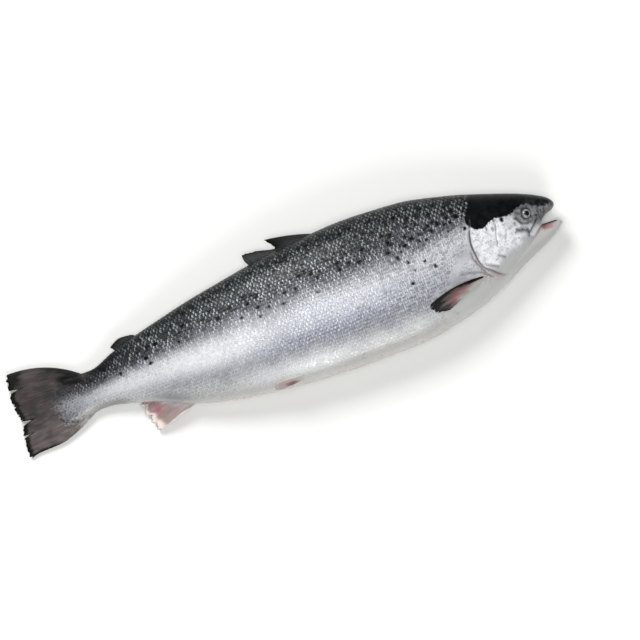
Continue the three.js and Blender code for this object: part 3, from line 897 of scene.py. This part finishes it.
def lower_jaw(material):
    mesh = flat_grid("lower_jaw", JAW_COLUMNS, JAW_ROWS)
    u, v, _ = corners_of(mesh).T
    x = mix(JAW_START_X, JAW_END_X, u)
    points = jaw_point(x, 2 * np.pi * v)
    centre, depth, width, height = jaw_section(x)
    top = unit((points[:, 1] - centre) / np.maximum(depth, 0.5))
    aside = np.clip((points[:, 2] - height) / np.maximum(width, 0.5), -1, 1)
    gape = smooth(324, 333, x) * smooth(JAW_END_X, JAW_END_X - 7, x)
    # The jaw leans over, so that its near lip lies lower than the far one, with a trough between them.
    trough = 1.6 * (1 - aside ** 2) * smooth(355, 342, x)
    level = top ** 0.35
    points[:, 1] += gape * (depth * (level - top) - level * (-2 + 6 * (aside + 1) + trough))
    set_down(mesh, settle(points))
    inner = gape * smooth(0.3, 0.6, top) * smooth(0.75, 0.6, aside)
    far_lip = gape * smooth(0.1, 0.4, top) * smooth(-0.3, -0.5, aside) * smooth(353, 350, x)
    tip = smooth(340, 349, x) * smooth(0.0, 0.7, top)
    corner = 0.35 * bell(x - 322, 6) * bell(points[:, 1] + 13, 5)
    mark(mesh, side_height=THROAT_TONE, dusk=0.1 * smooth(265, 300, x), crease=0.95 * far_lip,
         flush=np.maximum(0.8 * inner * (1 - tip), corner))
    mark(mesh, **dict.fromkeys(
        ("crown", "snout", "ash", "cheek", "freckle", "shine", "fin_root", "gleam", "dull", "mottle"), 0))
    close_up(mesh)
    piece(mesh, material)


# ---- Scales ----

SCALE_FRONT_X = 256.0
SCALE_REAR_X = -300.0
SCALE_LENGTH = profile([(-300, 3.9), (-220, 4.5), (-60, 5.0), (120, 5.1), (250, 5.5)])
SCALE_ROW = profile([
    (-300, 3.1), (-250, 3.6), (-200, 3.9), (-120, 4.1), (-20, 4.2), (150, 4.3), (250, 4.4),
])
ROWS_ABOVE = 33
ROWS_BELOW = 31
SCALE_CELLS = 4
SCALE_GRID_HALF = 0.49
SCALE_AHEAD = 0.9
SCALE_REACH = 1.58
SCALE_SHOULDER = 0.38
SCALE_HALF_WIDTH = 0.74
SCALE_ROOT = -0.25
SCALE_LIFT = 0.6
SCALE_CROWN = 0.18
SCALE_LEAN = 0.22
SCALE_ROLL = 0.12
SCALE_NUDGE = 0.12


def arc_table(side):
    """Angle around the section by the share of the way from ridge to belly, for a run of sections."""
    samples, steps = 200, 240
    xs = np.linspace(LOBE_END_X + 1, SNOUT_X - 60, samples)
    angles = np.linspace(0, np.pi, steps)
    points = trunk_point(xs[:, None], side * angles)
    runs = np.linalg.norm(np.diff(points, axis=1), axis=-1)
    length = np.concatenate([np.zeros((samples, 1)), np.cumsum(runs, axis=1)], axis=1)
    share = np.linspace(0, 1, steps)
    table = np.array([np.interp(share * run[-1], run, angles) for run in length])
    lateral_at = np.array([np.interp(-lateral(x), -row[:, 1], run)
                           for x, row, run in zip(xs, points, length)])
    return xs, length[:, -1], lateral_at, table


def looked_up(table, row, share):
    """Angle at a share of the way round, which may run a little past the ridge or the belly."""
    last = table.shape[1] - 1
    inside = unit(share) * last
    r0 = np.clip(row.astype(int), 0, table.shape[0] - 2)
    c0 = np.clip(inside.astype(int), 0, last - 1)
    near, far = (mix(table[r, c0], table[r, c0 + 1], inside - c0) for r in (r0, r0 + 1))
    return mix(near, far, row - r0) + (share - unit(share)) * np.pi


def scale_blocks(name, columns, rows):
    """One scale's grid, set out in columns and rows by two arrays."""
    maker = show(name + "_maker", flat_grid(name + "_one", SCALE_CELLS, SCALE_CELLS, SCALE_GRID_HALF))
    for count, offset in ((columns, (1, 0, 0)), (rows, (0, 1, 0))):
        array = maker.modifiers.new("array", "ARRAY")
        array.count = count
        array.use_relative_offset = False
        array.use_constant_offset = True
        array.constant_offset_displace = offset
    bpy.context.view_layer.update()
    laid = bpy.data.meshes.new_from_object(maker.evaluated_get(bpy.context.evaluated_depsgraph_get()))
    laid.name = name
    bpy.data.objects.remove(maker)
    return laid


def bare_places(rng, height, x, y, share):
    """Which scales are missing: on the gill cover and the bare skin, on the tail fin, and past the rims."""
    gill_gap, _ = from_gill(x, y)
    past_border = past_bare_border(x, y)
    ahead = (gill_gap > mix(-4.2, 1.5, smooth(27, 38, y))) & (x > GILL_ZONE_FROM_X)
    ahead |= (y < BARE_Y[-1]) & (past_border > 0)
    loss = np.maximum.reduce([
        smooth(-280, -301, x), smooth(-252, -270, x) * smooth(-0.6, -0.8, height),
        smooth(-34, 4, past_border) * smooth(-14, -40, y), smooth(0.4, 0.6, tail_blot(x, y)),
    ])
    return (rng.uniform(0, 1, len(x)) < loss) | ahead | (share < -0.004) | (share > 1.0)


def scale_coat(name, side, material):
    rng = np.random.default_rng(SEEDS[side])
    along = np.linspace(SCALE_FRONT_X, SCALE_REAR_X, 400)
    counts = np.concatenate([[0], np.cumsum(-np.diff(along) / SCALE_LENGTH(along[1:]))])
    columns, rows = int(counts[-1]), ROWS_ABOVE + ROWS_BELOW
    mesh = scale_blocks(name, columns, rows)
    flat = corners_of(mesh)[:, :2]
    column, row = np.floor(flat).T
    reach = unit((flat[:, 0] - column - 0.5) / (2 * SCALE_GRID_HALF) + 0.5)
    aside = np.clip((flat[:, 1] - row - 0.5) / SCALE_GRID_HALF, -1, 1)
    block = (row * columns + column).astype(int)
    count = columns * rows
    tone, lean, roll, nudge = rng.uniform(-1, 1, (4, count))
    centre_x = np.interp(column + 0.5 * (row % 2) + SCALE_NUDGE * nudge[block], counts, along)
    taper = np.where(reach > SCALE_SHOULDER, np.sqrt(np.maximum(
        0.03, 1 - ((reach - SCALE_SHOULDER) / (1.02 - SCALE_SHOULDER)) ** 2)), 1)
    x = centre_x + SCALE_LENGTH(centre_x) * (SCALE_AHEAD - SCALE_REACH * reach)
    offset = (row - ROWS_BELOW + 0.5 + SCALE_HALF_WIDTH * aside * taper) * SCALE_ROW(centre_x)
    xs, total, lateral_at, table = arc_table(side)
    place = np.clip((x - xs[0]) / (xs[1] - xs[0]), 0, len(xs) - 1.001)
    share = (np.interp(x, xs, lateral_at) - offset) / np.interp(x, xs, total)
    angle = side * looked_up(table, place, share)
    base = trunk_point(x, angle)
    y = base[:, 1]
    height = toned_height(x, y)
    lift = (SCALE_ROOT + SCALE_LIFT * reach - SCALE_CROWN * aside ** 2
            + SCALE_LEAN * lean[block] * (reach - 0.4) + SCALE_ROLL * roll[block] * aside)
    lift = lift * mix(0.55, 1.0, smooth(-270, -120, x)) * mix(0.3, 1.0, smooth(-0.85, -0.45, height))
    lift = lift + unevenness(x, y, angle)
    front = np.flatnonzero(x > HEAD_RELIEF_FROM_X)
    lift[front] += head_relief(x[front], y[front])
    set_down(mesh, settle(base + outward(trunk_point, x, angle) * lift[:, None], SHEET_SOFT))
    # Each scale keeps the colour of its own place on the flank.
    scale_height, scale_x, scale_y, scale_share = (
        np.bincount(block, values, count) / np.bincount(block, minlength=count)
        for values in (height, x, y, share))
    low = smooth(-0.05, -0.4, scale_height)
    fore = smooth(90, 180, scale_x) * smooth(0.3, 0.5, scale_height)
    near_gill = smooth(130, 200, scale_x)
    # Painted glints: how much of each scale's silver face shows, at random, more on the upper front flank,
    # less towards the tail.
    glint = mix(0.6, 0.7, low) + 0.25 * fore + 0.08 * near_gill
    glint = (glint + (mix(0.6, 0.35, low) + 0.3 * near_gill) * tone)[block]
    mark_light(mesh, x, y)
    mark(
        mesh, side_height=(scale_height + 0.02 * tone)[block], tone=0.5 + 0.5 * tone[block],
        spot=np.maximum(spots_over(x, y, SPOTS[side]), tail_blot(x, y)), fin_root=fin_side_of_tail(x, y),
        bow=reach + 0.1 * aside ** 2 + 0.04 * roll[block],
        glint=unit(glint * mix(0.2, 1.0, smooth(-300, -268, x))),
    )
    corner_of = read(mesh.loops, "vertex_index", 1, int)[:, 0]
    mesh.uv_layers[BAKE_MAP].data.foreach_set("uv", (flat[corner_of] / (columns, rows)).ravel())
    bare = bare_places(rng, scale_height, scale_x, scale_y, scale_share)
    bm = bmesh.new()
    bm.from_mesh(mesh)
    bm.verts.ensure_lookup_table()
    bmesh.ops.delete(bm, geom=[bm.verts[i] for i in np.flatnonzero(bare[block])], context="VERTS")
    mesh_of(bm, mesh)
    face_outwards(mesh, side)
    piece(mesh, material)


# ---- Fins ----


def ragged_edge(rng, u, amount, count):
    knots = rng.uniform(0, 1, count)
    knots[rng.uniform(0, 1, count) < 0.6] *= 0.25
    knots[[0, -1]] = knots[[1, -2]]
    return amount * np.interp(u, np.linspace(0, 1, count), knots)


def worn_back(fin, rng, u):
    """Millimetres by which tears and wear shorten each ray."""
    edge_line = curve_through(fin["edge"])(np.linspace(0, 1, 60))
    edge_length = np.linalg.norm(np.diff(edge_line, axis=0), axis=-1).sum()
    worn = ragged_edge(rng, u, fin["ragged"], fin["teeth"])
    for at, depth, width in fin["tears"]:
        worn = np.maximum(worn, depth * unit(1 - np.abs(u - at) / (width / 2 / edge_length)))
    return worn


def fin_outline(fin, u, v, worn):
    """Flat outline: u runs from the leading ray to the last, v from the base to the free edge."""
    root = curve_through(fin["base"])(u)
    ray = curve_through(fin["edge"])(u) - root
    length = np.linalg.norm(ray, axis=-1)
    loss = 0.35 * fin["fray"] * (1 - np.cos(2 * np.pi * fin["rays"] * u)) + worn
    reach = v * (1 - loss / length)
    drawn_in = 1 - fin["hook"] * u * np.maximum(0, reach - 0.5) ** 2
    sideways = mix(*fin["bow"], u) * 4 * reach * (1 - reach) * drawn_in
    return (root[:, 0] + ray[:, 0] * reach + ray[:, 1] / length * sideways,
            root[:, 1] + ray[:, 1] * reach - ray[:, 0] / length * sideways)


def rib_pattern(fin, u, v):
    """1 on a bony ray and 0 between; the rays fork twice on their way out."""
    waves = [0.5 + 0.5 * np.cos(2 * np.pi * fin["rays"] * n * u) for n in (1, 2, 4)]
    return mix(mix(waves[0], waves[1], smooth(0.25, 0.5, v)), waves[2], smooth(0.6, 0.85, v) * 0.8)


def streak_pattern(rng, u, v):
    """Light and dark streaks that run with the rays, each changing once or twice on its way out."""
    shares = np.linspace(0, 1, STREAK_KNOTS)
    lines = [np.interp(u, shares, rng.uniform(0, 1, STREAK_KNOTS)) for _ in range(3)]
    return mix(mix(lines[0], lines[1], smooth(0.2, 0.5, v)), lines[2], smooth(0.55, 0.9, v))


def fin_sheet(name, fin, place, columns, rows, seed, tint, material):
    """Both faces of a fin as one folded grid, closed along its rim; place() sets each point."""
    rng = np.random.default_rng(seed)
    mesh = flat_grid(name, columns, rows * 2)
    u, fold, _ = corners_of(mesh).T
    v = 1 - np.abs(2 * fold - 1)
    face = np.where(fold < 0.5, 1.0, -1.0)
    rim = np.sqrt(unit(1 - v ** RIM_POWER)) * np.sqrt(unit(1 - (2 * u - 1) ** SIDE_POWER))
    x, y = fin_outline(fin, u, v, worn_back(fin, rng, u))
    rib = rib_pattern(fin, u, v)
    set_down(mesh, place(x, y, u, v, face * rim, rib))
    height = side_height(x, y)
    mark(
        mesh, rib=rib, streak=mix(streak_pattern(rng, u, v), rib, 0.08), tint=unit(tint(u, v)), gleam=0,
        fin_root=np.where(x < FIN_SIDE_FROM_X, fin_side_of_tail(x, y), 1), side_height=toned_height(x, y),
        # Darker low on the tail's root, and along its lower rim as painted shade.
        dusk=0.4 * smooth(-0.7, -0.1, height) + 0.42 * smooth(-0.6, -0.9, height), blot=tail_blot(x, y),
        flush=0.6 * bell(x + 186.5, 6) * bell(y + 56, 7),
    )
    close_up(mesh)
    piece(mesh, material)


def in_middle(fin):
    """Stands a fin in the middle plane of the fish."""
    def place(x, y, u, v, face, rib):
        thick = mix(*fin["thickness"], np.sqrt(v)) * mix(0.9, 1, rib)
        height = middle(x) + fin["droop"] * v * v + fin["wave"] * v * np.sin(5 * np.pi * u)
        return np.stack([x, y, height + face * thick / 2], -1)

    return place


def on_flank(side):
    """Lays a fin folded back on the skin of one flank."""
    def place(x, y, u, v, face, rib):
        proud = mix(PAIRED_FIN_ROOT, PAIRED_FIN_TIP, v) * mix(0.75, 1, rib) * smooth(-0.01, 0.3, v)
        return settle(skin_point(x, y, side, mix(-PAIRED_FIN_SUNK, proud, (face + 1) / 2)), SHEET_SOFT)

    return place


def caudal_tint(u, v):
    lower_web = 0.16 * smooth(0.55, 0.8, u) * smooth(0.8, 0.4, v)
    lower_root = 0.3 * smooth(0.8, 0.95, u) * smooth(0.45, 0.15, v)
    upper_root = 0.48 * smooth(0.22, 0.06, u) * smooth(0.75, 0.3, v)
    behind_stem = 0.3 * bell(v - 0.55, 0.13) * bell(u - 0.32, 0.25)
    middle_web = 0.28 * bell(v - 0.84, 0.16) * bell(u - 0.42, 0.22)
    upper_rim = 0.3 * smooth(0.07, 0.0, u) + 0.55 * smooth(0.2, 0.08, u) * smooth(0.78, 0.9, v)
    lower_rim = 0.55 * smooth(0.93, 0.985, u) * smooth(0.6, 0.72, v)
    rear = 0.04 * smooth(0.5, 0.85, v) + 0.55 * smooth(0.92, 0.965, v)
    return 0.4 - lower_web - lower_root + upper_root + behind_stem + middle_web + upper_rim + lower_rim + rear


def dorsal_tint(u, v):
    return 0.35 + 0.4 * smooth(0.6, 0.9, v) + 0.4 * smooth(0.2, 0.0, u)


def anal_tint(u, v):
    pale_rim = np.maximum(smooth(0.72, 0.92, v), smooth(0.16, 0.0, u) * smooth(0.05, 0.4, v))
    return 0.02 + 0.43 * smooth(0.15, 0.5, v) + 0.55 * pale_rim


def pectoral_tint(u, v):
    dark_edge = 0.05 + 0.24 * smooth(0.5, 0.05, v)
    inner = 0.05 + 0.95 * unit((u - dark_edge) / 0.85) ** 0.9
    near_body = 0.55 * smooth(0.42, 0.18, v) * smooth(0.34, 0.46, u)
    return (inner + near_body) * mix(0.08, 1.0, smooth(0.95, 0.5, v - 0.04 * np.sin(23 * u)))


def pelvic_tint(u, v):
    return 1 - 0.85 * bell(u - 0.75, 0.45) * bell(v - 0.45, 0.22) - 0.33 * bell(v - 0.8, 0.22)


# ---- Eyes ----


def eyeball(name, node, side, material):
    spot = np.array([EYE_X]), np.array([EYE_Y])
    centre, skin_in, skin_out = (skin_point(*spot, side, [rise])[0] for rise in (-EYE_SINK, 0.0, 1.0))
    bm = bmesh.new()
    bmesh.ops.create_uvsphere(bm, u_segments=EYE_COLUMNS, v_segments=EYE_ROWS, radius=1)
    mesh = mesh_of(bm, name)
    co = corners_of(mesh)
    from_axis = np.hypot(co[:, 0], co[:, 1])
    outer = co[:, 2] > 0
    co[:, 2] += 0.1 * smooth(0.5, 0.38, from_axis) * outer
    turn = np.array(Vector((0, 0, 1)).rotation_difference(Vector(skin_out - skin_in)).to_matrix())
    set_down(mesh, (co * (EYE_RADIUS, EYE_RADIUS, EYE_HALF_DEPTH)) @ turn.T + centre)
    mark(mesh, from_axis=np.where(outer, from_axis, 1.0))
    piece(mesh, material, [node])


# ---- Put together ----

skin = skin_material()
fish_skin(skin)
lower_jaw(skin)
scale_finish = scale_material()
for word, side in SIDES.items():
    scale_coat("scales_" + word, side, scale_finish)

tail_fin = fin_material("tail", [
    (0.0, "#a19b92"), (0.16, "#77706c"), (0.3, "#605a58"), (0.46, "#554d4e"), (0.62, "#3f3a3a"),
    (0.8, "#2a2828"), (0.92, "#0d0c0d"), (1.0, "#060606"),
], (0.65, "#352a2c"))
dark_fin = fin_material("dark", [
    (0.0, "#33363a"), (0.4, "#1c1d1e"), (0.7, "#121110"), (1.0, "#0b0807"),
])
pale_fin = fin_material("pale", [
    (0.0, "#b9b4ba"), (0.2, "#a89ea0"), (0.45, "#948482"), (0.66, "#a48e8b"), (0.8, "#c6b4ad"),
    (1.0, "#e8ddd4"),
])
breast_fin = fin_material("breast", [
    (0.0, "#070607"), (0.12, "#141313"), (0.2, "#3c3736"), (0.32, "#5b5351"), (0.44, "#785558"),
    (0.6, "#8a6367"), (0.76, "#9a8280"), (0.88, "#9f9591"), (1.0, "#abaaa5"),
])
vent_fin = fin_material("vent", [
    (0.0, "#775f60"), (0.3, "#8d7a79"), (0.55, "#b29e9b"), (0.8, "#bab3af"), (1.0, "#b9b9b5"),
])
# Columns and rows of each face, and the seed of its wear.
fin_sheet("fin_caudal", CAUDAL_FIN, in_middle(CAUDAL_FIN), 320, 56, 21, caudal_tint, tail_fin)
fin_sheet("fin_dorsal", DORSAL_FIN, in_middle(DORSAL_FIN), 160, 20, 22, dorsal_tint, dark_fin)
fin_sheet("fin_anal", ANAL_FIN, in_middle(ANAL_FIN), 140, 30, 23, anal_tint, pale_fin)
fin_sheet("fin_adipose", ADIPOSE_FIN, in_middle(ADIPOSE_FIN), 60, 16, 24, dorsal_tint, dark_fin)
eye_finish = eye_material()
for word, side in SIDES.items():
    fin_sheet("fin_pectoral_" + word, PECTORAL_FIN, on_flank(side), 90, 70, 25, pectoral_tint, breast_fin)
    fin_sheet("fin_pelvic_" + word, PELVIC_FIN, on_flank(side), 60, 40, 26, pelvic_tint, vent_fin)
    eyeball("eyeball_" + word, "eye_" + word, side, eye_finish)

# ---- Stage ----


def floor():
    """Matt uncoated paper, which gives a pale ground without a shine."""
    bm = bmesh.new()
    bmesh.ops.create_grid(bm, x_segments=1, y_segments=1, size=FLOOR_HALF)
    mesh = mesh_of(bm, "floor")
    made, tree = material("pale_paper")
    shader = add(tree, "ShaderNodeBsdfPrincipled", {"Base Color": "#efefed", "Roughness": 0.9})
    add(tree, "ShaderNodeOutputMaterial", {"Surface": shader})
    mesh.materials.append(made)
    plane = show("floor", mesh)


CAMERA_RIGHT = Vector((0.9378, -0.3473, 0))
CAMERA_UP = Vector((0.3473, 0.9378, 0))
VIEW_CENTRE = Vector((0.0370, -0.0222, 0.038))
CAMERA_DISTANCE = 3.24
LENS_LENGTH = 150
SENSOR_WIDTH = 36
FLOOR_HALF = 6
ROOM_LIGHT = 0.16
# Places in the camera's own directions and widths are in metres, powers in watts.
SOFTBOXES = {
    "key_softbox": ((-0.9, 1.5, 1.7), 1.2, 46),
    "top_softbox": ((0.0, -0.1, 2.8), 1.1, 29),
    "fill_softbox": ((0.6, -1.5, 1.2), 1.2, 18),
}


def camera():
    lens = bpy.data.cameras.new("camera")
    lens.lens = LENS_LENGTH
    lens.sensor_width = SENSOR_WIDTH
    eye = show("camera", lens)
    turn = Matrix((CAMERA_RIGHT, CAMERA_UP, Vector((0, 0, 1)))).transposed().to_4x4()
    eye.matrix_world = Matrix.Translation(VIEW_CENTRE + Vector((0, 0, CAMERA_DISTANCE))) @ turn
    bpy.context.scene.camera = eye


def softbox(name, place, width, power):
    right, up, height = place
    away = CAMERA_RIGHT * right + CAMERA_UP * up + Vector((0, 0, height))
    lamp = bpy.data.lights.new(name, "AREA")
    lamp.shape = "DISK"
    lamp.size = width
    lamp.energy = power
    box = show(name, lamp)
    box.location = VIEW_CENTRE + away
    box.rotation_euler = (-away).to_track_quat("-Z", "Y").to_euler()
    box.visible_camera = False


floor()
camera()
for name, setting in SOFTBOXES.items():
    softbox(name, *setting)
world = bpy.data.worlds.new("studio")
bpy.context.scene.world = world
world.use_nodes = True
room = world.node_tree.nodes["Background"].inputs
room["Color"].default_value = (1, 1, 1, 1)
room["Strength"].default_value = ROOM_LIGHT
bpy.context.scene.view_settings.view_transform = "Standard"
